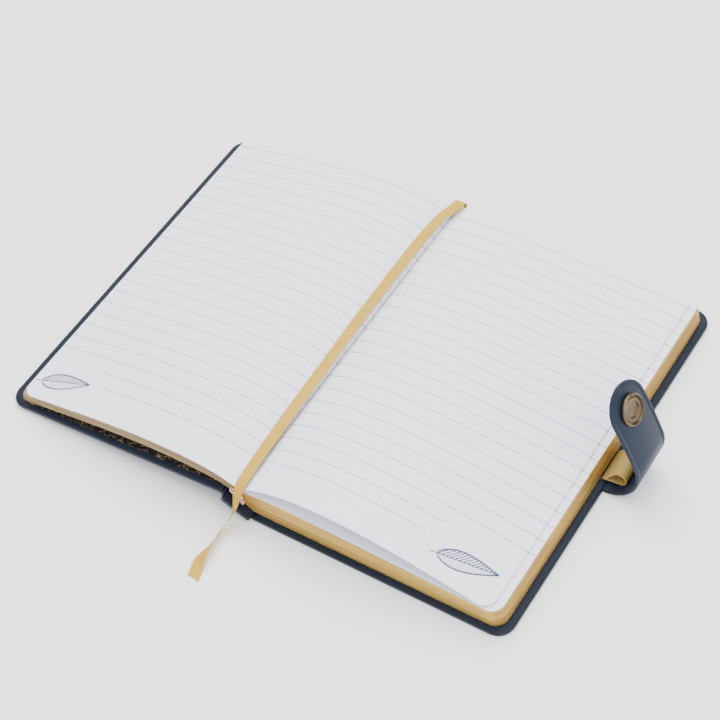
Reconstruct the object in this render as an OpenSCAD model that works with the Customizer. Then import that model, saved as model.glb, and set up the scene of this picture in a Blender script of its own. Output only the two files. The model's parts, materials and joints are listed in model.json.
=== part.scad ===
// Open casebound notebook with a strap clasp, a pen loop and a ribbon marker.
// Origin: middle of the back cover's underside. +X to its fore-edge, +Y to the head, +Z up.

/* [Case] */
// width of each cover board in its skin
board_w = 143; // [110:1:190]
// height of each cover board in its skin
board_h = 216; // [160:1:300]
// thickness of a finished cover
case_t = 3; // [2.2:0.1:5]
// thickness of the cover skin
skin_t = 0.4; // [0.3:0.05:0.8]
// radius of the covers' outer corners
corner_r = 9; // [4:0.5:16]
// width of the skin turned in over a board
turn_in = 13; // [8:1:20]
// thickness of an endpaper
endpaper_t = 0.25; // [0.15:0.05:0.5]

/* [Spine] */
// width of the spine panel
spine_w = 17.5; // [12:0.5:26]
// thickness of the spine panel
spine_t = 2.4; // [1.6:0.1:4]
// slope of the spine panel as the book lies open, degrees
spine_slope = 29.5; // [15:0.5:45]
// gap between the back board and the spine panel
back_gap = 2; // [1.6:0.1:5]
// height of the front joint over the spine panel
front_gap = 3.7; // [3:0.1:8]

/* [Pages] */
// how far the pages' fold lies past the back cover's spine side
fold_out = 6.8; // [5:0.1:9]
// how far the covers stand out past the pages at head and tail
end_square = 3; // [1.5:0.1:6]
// radius of the pages' outer corners
page_r = 7; // [2:0.5:14]
// how far the back cover stands out past the pages
square_w = 3.8; // [2:0.1:8]
// thickness of the pages on the right at the fore-edge
right_t = 12.2; // [6:0.2:30]
// how much the right pages swell towards the fold
right_swell = 6.2; // [2:0.2:9]
// thickness of the pages on the left
left_t = 7.4; // [3:0.2:20]
// how high the left pages arch off the front cover
left_arch = 6.2; // [2:0.2:12]
// how high the lifted leaf arches at the tail
leaf_arch = 12.2; // [4:0.2:24]
// thickness of the lifted leaf
leaf_t = 0.3; // [0.2:0.05:0.6]
// how far the lifted leaf stops short of the fore-edge
leaf_short = 5.6; // [2:0.2:12]

/* [Strap] */
// width of the strap
strap_w = 27.5; // [16:0.5:40]
// thickness of the strap's outer leather
strap_t = 1.5; // [1:0.1:3]
// thickness of the strap's lining
lining_t = 0.5; // [0.3:0.1:1]
// how far the strap stands out past the cover
strap_reach = 19.4; // [14:0.2:30]
// height where the strap stands upright
strap_rise = 23.5; // [14:0.5:34]
// radius of the bend where the flap starts
flap_bend = 16; // [10:0.5:30]
// angle of that bend, degrees
flap_lean = 18; // [8:1:40]
// radius of the flap's slow curve over the pages
flap_curve = 260; // [120:10:500]
// length of the flap along its curve
flap_len = 48; // [36:0.5:80]
// diameter of the clasp cap
cap_d = 16; // [10:0.5:22]
// height of the clasp cap over the strap
cap_t = 2; // [1.2:0.1:4]
// distance from the flap's tip to the cap's middle
cap_back = 14; // [12:0.5:30]
// diameter of the rivet's stem
stem_d = 4; // [2:0.2:6]
// diameter of the clasp magnet
magnet_d = 12; // [8:0.5:16]
// thickness of the clasp magnet's cup
magnet_t = 1.2; // [0.8:0.1:3]
// diameter of the steel keeper in the front board
keeper_d = 14; // [8:0.5:24]
// distance from the front board's fore-edge to the keeper's middle
keeper_in = 14.5; // [8:0.5:30]

/* [Pen loop] */
// width of the elastic along the cover's edge
loop_w = 18; // [10:0.5:30]
// thickness of the elastic
loop_t = 0.7; // [0.5:0.1:1.4]
// how far the pen loop stands out past its root
loop_reach = 12.8; // [9:0.2:14]
// height of the pen loop's bulge
loop_h = 8; // [6:0.2:9]

/* [Bands and ribbon] */
// diameter of the head and tail bands
band_d = 1.6; // [1.2:0.1:3]
// width of the ribbon
ribbon_w = 6; // [4:0.2:10]
// thickness of the ribbon
ribbon_t = 0.5; // [0.3:0.05:0.8]

/* [Hidden] */
board_t = case_t - 2 * skin_t;
clear = 0.3;
edge_x = board_w / 2;
inner_z = case_t + endpaper_t;
fold_x = -edge_x - fold_out;
fore_x = edge_x - square_w;
page_w = fore_x - fold_x;
page_h = board_h - 2 * end_square;
// spine panel, from its lower outer corner
spine_x = -edge_x - back_gap;
spine_dx = -cos(spine_slope);
spine_dz = sin(spine_slope);
// front cover, from its inner end's underside
front_x = spine_x + spine_w * spine_dx + 1.4;
front_z = 0.05 + spine_w * spine_dz + front_gap;
front_tilt = asin(front_z / board_w);
left_w = page_w - 2.4;
left_x0 = fold_x - clear;
left_x1 = left_x0 - left_w;
sections_right = 5;
sections_left = 3;
// strap surfaces, outer then inner
strap_all = strap_t + lining_t;
upright_x = edge_x + strap_reach;
magnet_gap = 0.1 + pow(magnet_d / 2, 2) / (flap_curve * 1.8);
hinge = [upright_x - strap_t, strap_rise + 0.5];
bend_len = flap_bend * flap_lean * PI / 180;
loop_root = [edge_x - 2.3, inner_z + loop_t + 0.05];
loop_mid = [edge_x - 2.3 + loop_reach - loop_h / 2, loop_root[1] + loop_h / 2 + 0.7];
steps = 28;
// ribbon: distance from the fold, place along the page, share of its height in the fold.
// The place is a share of half the page, or millimetres past the head or tail.
ribbon_z = max(inner_z + right_t + 6.35, front_z + 9.4);
ribbon_low = ribbon_t * 0.8;
ribbon_head = [[-0.1, 3.1, 0.7], [0.7, 3.3, 0.84], [1.2, 0.6, 0.96]];
ribbon_fold = [[-0.3, 0.95, 0.97], [-2.3, 0.86, 0.99], [-3.5, 0.67, 1.01], [-3.7, 0.38, 1.01],
    [-3.4, 0.1, 1.01], [-2.7, -0.19, 1], [-1.9, -0.48, 1], [-0.9, -0.71, 1], [-0.2, -0.86, 1],
    [0.5, -0.95, 1]];
ribbon_tail = [[1, -0.4, 0.97], [1, 3, 0.84], [0.1, 5.6, 0.6], [-1.5, 7.4, 0.33], [-3.1, 10, 0.135],
    [-4.5, 13.6, 0.035], [-5.4, 18, 0.01], [-5.9, 23, 0], [-5.7, 28.5, 0], [-4.5, 34, 0],
    [-2.5, 39, 0], [-0.3, 44, 0]];
function ribbon_at(dx, y, share) = [fold_x + dx, y, ribbon_low + (ribbon_z - ribbon_low) * share];
ribbon_run = concat(
    [for (p = ribbon_head) ribbon_at(p[0], page_h / 2 + p[1], p[2])],
    [for (p = ribbon_fold) ribbon_at(p[0], page_h / 2 * p[1], p[2])],
    [for (p = ribbon_tail) ribbon_at(p[0], -page_h / 2 - p[1], p[2])]);

function frac(x, a, b) = min(1, max(0, (x - a) / (b - a)));
// right pages: height of their underside and of their top at x
function right_low(x) = inner_z + 0.05 + 6 * pow(frac(x, fold_x + 8.3, fold_x), 2);
function right_in(x) = (x - fold_x) / page_w;
function right_top(x) = inner_z + right_t + right_swell * (1 - right_in(x))
    - right_swell * 0.77 * exp(-10 * right_in(x));
function right_at(x, f) = right_low(x) + (right_top(x) - right_low(x)) * f;
// front cover's inner surface at x, and the left pages over it
function front_face(x) = front_z + inner_z - (front_x - x) * tan(front_tilt);
function left_in(x) = (left_x0 - x) / left_w;
function left_hump(t) = t < 0.06 ? 0 : left_arch * sin(180 * pow((t - 0.06) / 0.94, 0.72));
function left_drop(t) = t < 0.06 ? (0.06 - t) * 62 : 0;
function left_thick(t) = left_t * (0.84 + 0.16 * frac(t, 0, 0.25));
function left_low(x) = front_face(x) + clear + left_hump(left_in(x)) - left_drop(left_in(x));
function left_at(x, f) = left_low(x) + left_thick(left_in(x)) * f;
// lifted leaf
function leaf_rise(x) = sin(180 * pow(frac(x, fold_x, fore_x - leaf_short), 0.8));
function leaf_lift(y) = 0.08 + 0.92 * pow(frac(y, page_h / 2, -page_h / 2), 1.3);
function leaf_low(x, y) = right_top(x) + clear + leaf_arch * leaf_rise(x) * leaf_lift(y);

// an outline from the spine side at 0 to w, its two outer corners rounded
module page_outline(w, h, r) {
    translate([0, -h / 2])
        square([w - r, h]);
    translate([0, -h / 2 + r])
        square([w, h - 2 * r]);
    for (j = [-1, 1])
        translate([w - r, j * (h / 2 - r)])
            circle(r, $fn = 48);
}

// a profile in X and Z drawn out along Y
module along_y(len) {
    rotate([90, 0, 0])
        translate([0, 0, -len / 2])
            linear_extrude(len)
                children();
}

module cover_board(w, h) {
    translate([0, 0, skin_t])
        linear_extrude(board_t)
            translate([skin_t - w / 2, 0])
                page_outline(w - 2 * skin_t, h - 2 * skin_t, corner_r - skin_t);
}

module cover_skin(w, h) {
    difference() {
        linear_extrude(case_t)
            translate([-w / 2, 0])
                page_outline(w, h, corner_r);
        cover_board(w, h);
        translate([-w / 2 + turn_in, -h / 2 + turn_in, case_t - skin_t * 1.5])
            cube([w - 2 * turn_in, h - 2 * turn_in, skin_t * 2]);
    }
}

// an endpaper: fills the window inside the turn-in and covers the page area
module endpaper(w, h, x0) {
    translate([-w / 2 + turn_in, -h / 2 + turn_in, case_t - skin_t])
        cube([w - 2 * turn_in, h - 2 * turn_in, skin_t]);
    translate([x0, 0, case_t])
        linear_extrude(endpaper_t)
            page_outline(fore_x - x0, page_h, page_r);
}

module back_board() {
    color("#8a7a62") cover_board(board_w, board_h);
}

module back_skin() {
    color("#22304a") cover_skin(board_w, board_h);
}

module back_endpaper() {
    color("#3a3324") endpaper(board_w, board_h, -edge_x + 3);
}

module on_front() {
    translate([front_x, 0, front_z])
        rotate([0, -front_tilt, 0])
            translate([-edge_x, 0, 0])
                mirror([1, 0, 0])
                    children();
}

module front_board() {
    color("#8a7a62") difference() {
        on_front() cover_board(board_w, board_h);
        on_front() keeper_seat();
    }
}

module front_skin() {
    color("#22304a") on_front() cover_skin(board_w, board_h);
}

module front_endpaper() {
    color("#3a3324") on_front() endpaper(board_w, board_h, -edge_x + 3);
}

module keeper_seat() {
    translate([edge_x - keeper_in, 0, skin_t])
        cylinder(h = board_t / 2, d = keeper_d, $fn = 64);
}

module keeper() {
    color("#8c8f94") on_front() keeper_seat();
}

module on_spine() {
    translate([spine_x, 0, 0.05])
        rotate([0, spine_slope, 0])
            children();
}

module spine_board() {
    color("#8a7a62") on_spine()
        translate([-spine_w + skin_t, -board_h / 2 + skin_t, skin_t])
            cube([spine_w - 2 * skin_t, board_h - 2 * skin_t, spine_t - 2 * skin_t]);
}

module spine_skin() {
    color("#22304a") on_spine() difference() {
        translate([-spine_w, -board_h / 2, 0])
            cube([spine_w, board_h, spine_t]);
        translate([-spine_w + skin_t, -board_h / 2 + skin_t, skin_t])
            cube([spine_w - 2 * skin_t, board_h - 2 * skin_t, spine_t - 2 * skin_t]);
    }
}

// the folded skin between the back board and the spine panel
module back_joint() {
    nx = spine_dz;
    nz = -spine_dx;
    sx = spine_x + nx * (spine_t + 0.02);
    sz = 0.05 + nz * (spine_t + 0.02);
    color("#1b2740") along_y(board_h - 1)
        polygon([
            [-edge_x - 0.02, case_t - 1.1], [-edge_x - 0.02, case_t - 0.4],
            [sx + 1.2 * spine_dx + 0.6 * nx, sz + 1.2 * spine_dz + 0.6 * nz],
            [sx + 1.2 * spine_dx, sz + 1.2 * spine_dz], [sx, sz]
        ]);
}

// the skin between the spine panel's upper edge and the front board
module front_joint() {
    nx = spine_dz;
    nz = -spine_dx;
    ux = spine_x + (spine_w + 0.05) * spine_dx;
    uz = 0.05 + (spine_w + 0.05) * spine_dz;
    top = uz + front_gap - clear - 0.25;
    color("#1b2740") along_y(board_h - 1)
        polygon([
            [ux, uz], [ux + 0.9 * nx, uz + 0.9 * nz], [ux + 0.55, top], [ux - 0.15, top]
        ]);
}

module right_section(i) {
    n = sections_right;
    a = (i - 1) / n;
    b = i / n - 0.012;
    xs = [for (k = [0:steps]) fold_x + (fore_x - fold_x) * k / steps];
    rev = [for (k = [steps:-1:0]) fold_x + (fore_x - fold_x) * k / steps];
    intersection() {
        along_y(page_h)
            polygon(concat([for (x = xs) [x, right_at(x, a)]],
                [for (x = rev) [x, right_at(x, b)]]));
        translate([fold_x, 0, 0])
            linear_extrude(right_top(fold_x + page_w / 4) + 10)
                page_outline(page_w, page_h, page_r);
    }
}

module right_section_1() {
    color("#e8dfc8") right_section(1);
}

module right_section_2() {
    color("#f2ecd8") right_section(2);
}

module right_section_3() {
    color("#e8dfc8") right_section(3);
}

module right_section_4() {
    color("#f2ecd8") right_section(4);
}

module right_section_5() {
    color("#f6f4ee") right_section(5);
}

module left_section(i) {
    n = sections_left;
    a = (i - 1) / n;
    b = i / n - 0.012;
    xs = [for (k = [0:steps]) left_x0 - left_w * pow(k / steps, 1.3)];
    rev = [for (k = [steps:-1:0]) left_x0 - left_w * pow(k / steps, 1.3)];
    intersection() {
        along_y(page_h)
            polygon(concat([for (x = xs) [x, left_at(x, a)]],
                [for (x = rev) [x, left_at(x, b)]]));
        translate([left_x0, 0, 0])
            mirror([1, 0, 0])
                linear_extrude(front_z + left_t + left_arch + 20)
                    page_outline(left_w, page_h, page_r);
    }
}

module left_section_1() {
    color("#e8dfc8") left_section(1);
}

module left_section_2() {
    color("#f2ecd8") left_section(2);
}

module left_section_3() {
    color("#f6f4ee") left_section(3);
}

// a thin strip of lining glued under the fold edge of the right pages
module spine_lining() {
    n = 10;
    x0 = fold_x + 0.2;
    x1 = fold_x + 7;
    color("#ddd6c6") along_y(page_h - 10)
        polygon(concat(
            [for (k = [0:n]) let (x = x0 + (x1 - x0) * k / n) [x, right_low(x) - 0.05]],
            [for (k = [n:-1:0]) let (x = x0 + (x1 - x0) * k / n) [x, right_low(x) - 0.4]]));
}

// a sewn band across the end of the pages' spine
module end_band(side) {
    y = side * (page_h / 2 + 0.05);
    for (k = [0:4])
        translate([fold_x + 0.6 + 0.25 * band_d * k, y, right_low(fold_x) + (1 + 0.9 * (4 - k)) * band_d])
            rotate([-side * 90, 0, 0])
                cylinder(h = band_d, d = band_d, $fn = 24);
}

module headband() {
    color("#b23a3a") end_band(1);
}

module tailband() {
    color("#b23a3a") end_band(-1);
}

// a leaf as one curved sheet, its outer corners rounded
module top_leaf() {
    nx = 40;
    ny = 16;
    x0 = fold_x + 1;
    x1 = fore_x - leaf_short;
    r = page_r;
    xs = [for (i = [0:nx]) x0 + (x1 - x0) * (1 - pow(1 - i / nx, 1.35))];
    half = [for (x = xs) page_h / 2 - (x > x1 - r ? r - sqrt(max(0.01, r * r - pow(x - x1 + r, 2))) : 0)];
    row = ny + 1;
    all = (nx + 1) * row;
    pts = [for (s = [0, 1], i = [0:nx], j = [0:ny])
        let (y = half[i] * (2 * j / ny - 1)) [xs[i], y, leaf_low(xs[i], y) + s * leaf_t]];
    top = [for (i = [0:nx - 1], j = [0:ny - 1])
        let (a = all + i * row + j) [a, a + 1, a + row + 1, a + row]];
    low = [for (i = [0:nx - 1], j = [0:ny - 1])
        let (a = i * row + j) [a, a + row, a + row + 1, a + 1]];
    sides = [for (i = [0:nx - 1], e = [0, 1])
        let (a = i * row + e * ny)
            e == 0 ? [a, a + all, a + all + row, a + row] : [a, a + row, a + all + row, a + all]];
    ends = [for (j = [0:ny - 1], e = [0, 1])
        let (a = e * nx * row + j)
            e == 0 ? [a, a + 1, a + all + 1, a + all] : [a, a + all, a + all + 1, a + 1]];
    color("#fbfaf6")
        polyhedron(concat(pts), concat(top, low, sides, ends), convexity = 4);
}

// the strap's curve: a quarter ellipse out from the cover, then a lean back over the pages
function riser_at(q, off) = [
    edge_x + (strap_reach - off) * sin(q),
    0.35 + off + (strap_rise - 0.35 - off) * (1 - cos(q))
];
function flap_turn(s) = s < bend_len ? s / flap_bend * 180 / PI
    : flap_lean + (s - bend_len) / flap_curve * 180 / PI;
function flap_at(s, off) = let (q = flap_turn(s), r = s < bend_len ? flap_bend : flap_curve)
    [upright_x - flap_bend, strap_rise] + (flap_bend - r) * (s < bend_len ? [0, 0] : [cos(flap_lean), sin(flap_lean)])
        + (r - off) * [cos(q), sin(q)];

module riser_layer(out, in) {
    n = 20;
    along_y(strap_w)
        polygon(concat([for (k = [0:n]) riser_at(90 * k / n, out)],
            [for (k = [n:-1:0]) riser_at(90 * k / n, in)]));
}

// a length of the flap, kept where it lies within a round-ended tongue
module flap_layer(out, in, trim) {
    n = 8;
    m = 16;
    w = strap_w / 2 - trim;
    end = flap_len - trim;
    ss = concat([for (k = [0:n]) 0.1 + (bend_len - 0.1) * k / n],
        [for (k = [1:m]) bend_len + (end - bend_len) * k / m]);
    tip = flap_at(end, 0);
    intersection() {
        along_y(2 * w)
            polygon(concat([for (s = ss) flap_at(s, out)],
                [for (k = [len(ss) - 1:-1:0]) flap_at(ss[k], in)]));
        translate([tip[0], 0, tip[1]])
            rotate([0, 90 - flap_turn(end), 0])
                translate([0, 0, -20]) {
                    translate([w, 0, 0])
                        cylinder(h = 40, r = w, $fn = 96);
                    translate([w, -w, 0])
                        cube([2 * flap_len, 2 * w, 40]);
                }
    }
}

// room at the flap's root for it to swing both ways about the hinge line
module root_notch() {
    along_y(strap_w + 2)
        polygon([hinge + [0, -0.2], hinge + [3, 5.4], hinge + [3, -2], hinge + [-3, -2], hinge + [-3, 5.4]]);
}

module strap_riser() {
    color("#2b3c55") riser_layer(0, strap_t);
}

module riser_lining() {
    color("#2b3c55") riser_layer(strap_t, strap_all);
}

module strap_flap() {
    color("#2b3c55") difference() {
        flap_layer(0, strap_t, 0);
        root_notch();
        on_cap() translate([0, 0, -strap_all - 1])
            cylinder(h = strap_all + 3, d = stem_d, $fn = 32);
    }
}

module flap_lining() {
    color("#2b3c55") difference() {
        flap_layer(strap_t + 0.03, strap_all, 0.4);
        root_notch();
        on_cap() translate([0, 0, -strap_all - 1])
            cylinder(h = strap_all + 3, d = stem_d, $fn = 32);
    }
}

// frame on the flap's outer face at the cap: +Z points away from the strap
module on_cap() {
    s = flap_len - cap_back;
    p = flap_at(s, 0);
    translate([p[0], 0, p[1]])
        rotate([0, 90 - flap_turn(s), 0])
            children();
}

// round cap with a raised rim, a step and a sunk oval middle
module clasp_cap() {
    r = cap_d / 2;
    color("#7c6a56") on_cap() difference() {
        translate([0, 0, 0.6])
            rotate_extrude($fn = 96)
                polygon([
                    [0, 0], [r - 0.6, 0], [r, 0.5], [r, cap_t - 0.7], [r - 0.5, cap_t - 0.2],
                    [r - 1.1, cap_t - 0.2], [r - 1.6, cap_t - 0.6], [0, cap_t - 0.6]
                ]);
        translate([0, 0, cap_t - 0.5])
            scale([0.9, 1, 1])
                cylinder(h = 1.5, r = r * 0.56, $fn = 64);
    }
}

module clasp_stem() {
    color("#6d5c49") on_cap() {
        translate([0, 0, -strap_all - 0.1])
            cylinder(h = strap_all + 0.65, d = stem_d - 0.1, $fn = 32);
    }
}

module clasp_magnet() {
    color("#55565a") on_cap()
        translate([0, 0, -strap_all - magnet_gap - magnet_t])
            cylinder(h = magnet_t, d = magnet_d, $fn = 64);
}

// a drop in X and Z: a small round at the root, a big round at the far end, straight sides
module drop(from, small, big) {
    d = loop_mid - from;
    side = acos((small - big) / norm(d));
    lean = atan2(d[1], d[0]);
    polygon(concat(
        [for (k = [0:36]) let (a = lean - side + 2 * side * k / 36) loop_mid + big * [cos(a), sin(a)]],
        [for (k = [0:12]) let (a = lean + side + (360 - 2 * side) * k / 12) from + small * [cos(a), sin(a)]]));
}

// elastic loop, its two ends meeting at the cover's edge
module pen_loop() {
    toward = (loop_mid - loop_root) / norm(loop_mid - loop_root);
    color("#c9a24e") along_y(loop_w) difference() {
        drop(loop_root, loop_t, loop_h / 2);
        drop(loop_root + toward * 3, loop_t * 0.4, loop_h / 2 - loop_t);
    }
}

// the ribbon as a thin band of eight sides carried along its points
module ribbon() {
    n = len(ribbon_run) - 1;
    m = 3;
    count = n * m;
    path = [for (i = [0:count]) spline(ribbon_run, i / m)];
    rings = [for (i = [0:count])
        let (t = unit(path[min(count, i + 1)] - path[max(0, i - 1)]),
            up0 = abs(t[2]) > 0.8 ? [0, 1, 0] : [0, 0, 1],
            s = unit(cross(t, up0)),
            u = cross(s, t))
        [for (k = [0:7]) let (q = 22.5 + 45 * k)
            path[i] + s * ribbon_w / 2 * max(-1, min(1, cos(q) * 1.08)) + u * ribbon_t / 2 * sin(q) * 1.08]];
    pts = [for (r = rings, p = r) p];
    sides = [for (i = [0:count - 1], k = [0:7])
        let (j = (k + 1) % 8) [i * 8 + k, i * 8 + j, i * 8 + 8 + j, i * 8 + 8 + k]];
    color("#d4ac5e")
        polyhedron(pts, concat(sides, [[for (k = [7:-1:0]) k]], [[for (k = [0:7]) count * 8 + k]]),
            convexity = 6);
}

function unit(v) = v / norm(v);

function spline(p, u) = let (n = len(p) - 1, i = min(n - 1, floor(u)), t = u - i,
    a = p[max(0, i - 1)], b = p[i], c = p[i + 1], d = p[min(n, i + 2)])
    0.5 * (2 * b + (c - a) * t + (2 * a - 5 * b + 4 * c - d) * t * t
        + (3 * b - a - 3 * c + d) * t * t * t);

back_board();
back_skin();
back_endpaper();
right_section_1();
right_section_2();
right_section_3();
right_section_4();
right_section_5();
spine_lining();
headband();
tailband();
ribbon();
pen_loop();
back_joint();
spine_board();
spine_skin();
front_joint();
front_board();
front_skin();
front_endpaper();
keeper();
left_section_1();
left_section_2();
left_section_3();
top_leaf();
strap_riser();
riser_lining();
strap_flap();
flap_lining();
clasp_cap();
clasp_stem();
clasp_magnet();
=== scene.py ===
"""An open ruled notebook with a strap clasp, a pen loop and a ribbon, in the part's own frame."""

import json
import math
import random

import bmesh
import bpy
from mathutils import Matrix, Vector

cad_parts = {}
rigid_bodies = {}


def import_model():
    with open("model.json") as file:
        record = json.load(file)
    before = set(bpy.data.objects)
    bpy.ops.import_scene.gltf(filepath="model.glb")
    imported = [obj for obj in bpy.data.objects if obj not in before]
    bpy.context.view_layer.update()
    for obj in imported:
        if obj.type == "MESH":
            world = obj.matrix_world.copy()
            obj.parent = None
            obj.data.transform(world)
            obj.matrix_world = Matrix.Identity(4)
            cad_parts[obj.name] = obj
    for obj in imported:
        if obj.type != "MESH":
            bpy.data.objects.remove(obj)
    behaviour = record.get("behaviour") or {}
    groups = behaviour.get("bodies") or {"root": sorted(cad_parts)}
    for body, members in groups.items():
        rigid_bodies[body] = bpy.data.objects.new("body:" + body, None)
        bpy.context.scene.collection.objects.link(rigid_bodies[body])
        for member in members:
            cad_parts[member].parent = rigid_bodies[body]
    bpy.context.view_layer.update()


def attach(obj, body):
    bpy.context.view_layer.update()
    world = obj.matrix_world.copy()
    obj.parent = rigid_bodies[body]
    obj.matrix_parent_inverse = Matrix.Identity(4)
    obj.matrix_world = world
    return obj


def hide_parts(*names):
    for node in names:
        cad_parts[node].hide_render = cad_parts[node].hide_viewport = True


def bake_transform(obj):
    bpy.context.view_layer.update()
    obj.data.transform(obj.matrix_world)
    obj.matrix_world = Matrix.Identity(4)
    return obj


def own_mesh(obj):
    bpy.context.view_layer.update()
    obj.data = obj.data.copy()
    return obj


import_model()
MM = 0.001

# case, in millimetres
BOARD_W, BOARD_H, CASE_T, CORNER_R = 143.0, 216.0, 3.0, 9.0
TURN_IN, ENDPAPER_T = 13.0, 0.25
EDGE_X = BOARD_W / 2
INNER_Z = CASE_T + ENDPAPER_T
# spine
SPINE_W, SPINE_T, SPINE_SLOPE, BACK_GAP, FRONT_GAP = 17.5, 2.4, 29.5, 2.0, 3.7
SPINE_X = -EDGE_X - BACK_GAP
SPINE_DX = -math.cos(math.radians(SPINE_SLOPE))
SPINE_DZ = math.sin(math.radians(SPINE_SLOPE))
FRONT_X = SPINE_X + SPINE_W * SPINE_DX + 1.4
FRONT_Z = 0.05 + SPINE_W * SPINE_DZ + FRONT_GAP
FRONT_TILT = math.asin(FRONT_Z / BOARD_W)
# pages
PAGE_W, PAGE_H, PAGE_R, SQUARE = 146.0, 210.0, 7.0, 3.8
FOLD_X = EDGE_X - SQUARE - PAGE_W
FORE_X = EDGE_X - SQUARE
RIGHT_T, RIGHT_SWELL = 12.2, 6.2
LEFT_T, LEFT_ARCH, LEFT_FAN = 7.4, 6.2, 5.5
LEFT_W = PAGE_W - 2.4
LEFT_X0 = FOLD_X - 0.3
LEAF_ARCH, LEAF_T, LEAF_SHORT = 12.2, 0.26, 5.6
RULE_PITCH, FIRST_RULE_Y, RULES = 8.72, -86.2, 21
# strap
STRAP_W, STRAP_T, LINING_T = 27.5, 1.5, 0.5
STRAP_REACH, STRAP_RISE = 19.4, 23.5
FLAP_BEND, FLAP_LEAN, FLAP_CURVE, FLAP_LEN = 16.0, math.radians(18), 260.0, 48.0
UPRIGHT_X = EDGE_X + STRAP_REACH
BEND_LEN = FLAP_BEND * FLAP_LEAN
RISER_LEN = 33.4
STRAP_LEN = RISER_LEN + FLAP_LEN
CAP_D, CAP_BACK = 16.0, 14.0
# pen loop
LOOP_W, LOOP_T, LOOP_H = 18.0, 0.7, 8.0
LOOP_ROOT = (EDGE_X - 2.3, INNER_Z + LOOP_T + 0.05)
LOOP_MID = (EDGE_X - 2.3 + 12.8 - LOOP_H / 2, LOOP_ROOT[1] + LOOP_H / 2 + 0.7)
RIBBON_W, RIBBON_T = 6.4, 0.35
# printed feather, its length and half its width
FEATHER_LEN, FEATHER_HALF = 30.0, 5.4
FLOOR_HALF, FLOOR_T = 3000, 10


# ---------------------------------------------------------------- camera
def place_camera():
    """Looks down over the tail and the fore-edge, rolled a little."""
    target = Vector((-78.61, 1.6, 0)) * MM
    azimuth, elevation, roll = (math.radians(a) for a in (41.301, 50.664, -11.217))
    back = Vector((math.sin(azimuth) * math.cos(elevation), -math.cos(azimuth) * math.cos(elevation),
                   math.sin(elevation)))
    right = (-back).cross(Vector((0, 0, 1))).normalized()
    up = right.cross(-back)
    across = right * math.cos(roll) + up * math.sin(roll)
    above = up * math.cos(roll) - right * math.sin(roll)
    data = bpy.data.cameras.new("camera")
    data.lens, data.sensor_width = 89.1, 36
    data.clip_start, data.clip_end = 0.05, 20
    camera = bpy.data.objects.new("camera", data)
    turn = Matrix((across, above, back)).transposed().to_4x4()
    camera.matrix_world = Matrix.Translation(target + back * 0.93154) @ turn
    bpy.context.scene.collection.objects.link(camera)
    bpy.context.scene.camera = camera


# ---------------------------------------------------------------- surfaces of the pages
def share(x, a, b):
    return min(1.0, max(0.0, (x - a) / (b - a)))


def right_low(x):
    return INNER_Z + 0.05 + 6 * share(x, FOLD_X + 8.3, FOLD_X) ** 2


def right_top(x):
    t = (x - FOLD_X) / PAGE_W
    return INNER_Z + RIGHT_T + RIGHT_SWELL * (1 - t) - RIGHT_SWELL * 0.77 * math.exp(-10 * t)


def right_at(x, f):
    return right_low(x) + (right_top(x) - right_low(x)) * f


def front_face(x):
    return FRONT_Z + INNER_Z - (FRONT_X - x) * math.tan(FRONT_TILT)


def left_low(x):
    t = (LEFT_X0 - x) / LEFT_W
    hump = LEFT_ARCH * math.sin(math.pi * share(t, 0.06, 1) ** 0.72)
    drop = (0.06 - t) * 62 if t < 0.06 else 0
    return front_face(x) + 0.3 + hump - drop


def left_at(x, f):
    t = (LEFT_X0 - x) / LEFT_W
    return left_low(x) + LEFT_T * (0.84 + 0.16 * share(t, 0, 0.25)) * f


def leaf_low(x, y):
    rise = math.sin(math.pi * share(x, FOLD_X, FORE_X - LEAF_SHORT) ** 0.8)
    lift = 0.08 + 0.92 * share(y, PAGE_H / 2, -PAGE_H / 2) ** 1.3
    return right_top(x) + 0.3 + LEAF_ARCH * rise * lift


# ---------------------------------------------------------------- mesh helpers
def solid(name, points, faces, body=None, nodes=(), materials=(), parts=None,
          smooth=38, place=None):
    """A closed mesh from points in millimetres, smooth up to an angle, riding on a body."""
    name = name.replace(" ", "_")
    bm = bmesh.new()
    verts = [bm.verts.new(Vector(p) * MM) for p in points]
    for i, face in enumerate(faces):
        made = bm.faces.new([verts[k] for k in face])
        made.material_index = parts[i] if parts else 0
        made.smooth = True
    bmesh.ops.recalc_face_normals(bm, faces=bm.faces)
    if place is not None:
        bmesh.ops.transform(bm, matrix=place, verts=bm.verts)
        if place.determinant() < 0:
            bmesh.ops.reverse_faces(bm, faces=bm.faces)
    mesh = bpy.data.meshes.new(name)
    bm.to_mesh(mesh)
    bm.free()
    mesh.set_sharp_from_angle(angle=math.radians(smooth))
    for material in materials:
        mesh.materials.append(material)
    obj = bpy.data.objects.new(name, mesh)
    bpy.context.scene.collection.objects.link(obj)
    if body:
        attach(obj, body)
    if nodes:
        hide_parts(*nodes)
    return obj


def loft(rings, wrap=False):
    """Points and faces of closed rings joined one to the next, the ends capped unless it wraps."""
    n, count = len(rings[0]), len(rings)
    points = [p for ring in rings for p in ring]
    faces = []
    for i in range(count if wrap else count - 1):
        a, b = i * n, (i + 1) % count * n
        faces += [(a + k, a + (k + 1) % n, b + (k + 1) % n, b + k) for k in range(n)]
    if not wrap:
        faces += [tuple(range(n)), tuple((count - 1) * n + k for k in range(n))]
    return points, faces


def round_rect(w, h, r, z, inset=0.0, steps=8, square=False):
    """A ring round a rectangle with round corners, at height z; square keeps the spine side's two sharp."""
    w, h, full = w / 2 - inset, h / 2 - inset, max(r - inset, 0.4)
    ring = []
    for corner, (i, j) in enumerate(((1, 1), (-1, 1), (-1, -1), (1, -1))):
        r = 0.5 if square and i < 0 else full
        for k in range(steps + 1):
            a = math.radians(corner * 90 + 90 * k / steps)
            ring.append((i * (w - r) + r * math.cos(a), j * (h - r) + r * math.sin(a), z))
    return ring


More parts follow.
